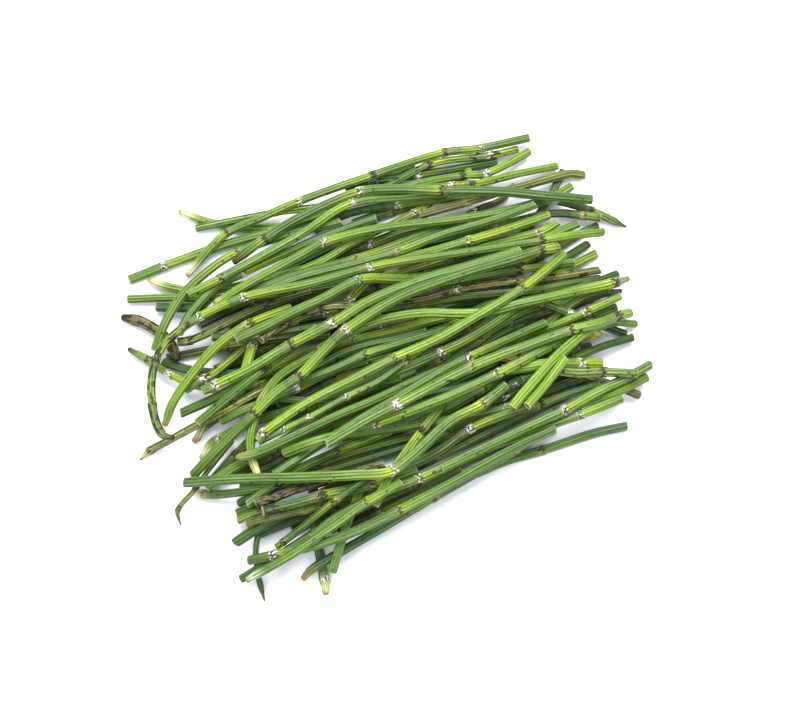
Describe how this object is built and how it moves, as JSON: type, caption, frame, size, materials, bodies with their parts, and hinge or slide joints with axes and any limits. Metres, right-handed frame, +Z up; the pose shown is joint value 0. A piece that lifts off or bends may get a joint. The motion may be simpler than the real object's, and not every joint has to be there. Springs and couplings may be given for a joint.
{
  "type": "horsetail plant",
  "caption": "Loose heap of cut horsetail stems lying flat: slim ribbed green tubes with dark-ringed joints, crossing and resting on one another.",
  "frame": {"origin": "middle of the heap's plan, on the surface it lies on", "axes": "+Z up; the stems lie mostly along +X, rising a little towards +Y"},
  "size_m": [0.2652, 0.2424, 0.0358],
  "materials": {
    "leaf": "satin mid-green stem skin, finely ribbed",
    "light": "satin bright yellow-green stem skin, finely ribbed",
    "deep": "satin deep green stem skin, finely ribbed",
    "olive": "matt olive green stem skin, finely ribbed",
    "dry": "matt brown dried stem skin"
  },
  "bodies": {
    "root": {"stem_a05": "deep", "stem_a09": "dry", "stem_a10": "olive", "stem_a16": "leaf", "stem_a20": "leaf", "stem_a22": "deep", "stem_a25": "deep", "stem_a27": "deep", "stem_a34": "dry", "stem_a35": "deep", "stem_b05": "light", "stem_b07": "deep", "stem_b09": "light", "stem_b10": "leaf", "stem_b11": "light", "stem_b23": "deep", "stem_b26": "deep", "stem_b27": "leaf", "stem_b29": "deep", "stem_c02": "leaf", "stem_c04": "leaf", "stem_c06": "leaf", "stem_c07": "light", "stem_c10": "light", "stem_c11": "deep", "stem_c15": "olive", "stem_c16": "light", "stem_c19": "leaf", "stem_c20": "olive", "stem_c21": "dry", "stem_c23": "olive", "stem_c25": "light", "stem_c27": "deep", "stem_d06": "leaf", "stem_d14": "light", "stem_f01": "deep", "stem_f02": "deep", "stem_f03": "deep", "stem_f04": "olive", "stem_f05": "deep", "stem_f07": "deep", "stem_f08": "deep", "stem_f10": "deep", "stem_f11": "deep", "stem_f14": "deep", "stem_f15": "olive", "stem_f21": "deep", "stem_f28": "olive", "stem_f29": "deep", "stem_f34": "deep", "stem_g02": "deep", "stem_g03": "deep", "stem_g04": "deep", "stem_g05": "deep", "stem_g06": "deep", "stem_g10": "deep", "stem_g12": "deep", "stem_g13": "deep", "stem_g14": "deep", "stem_g19": "deep"}
  },
  "joints": []
}
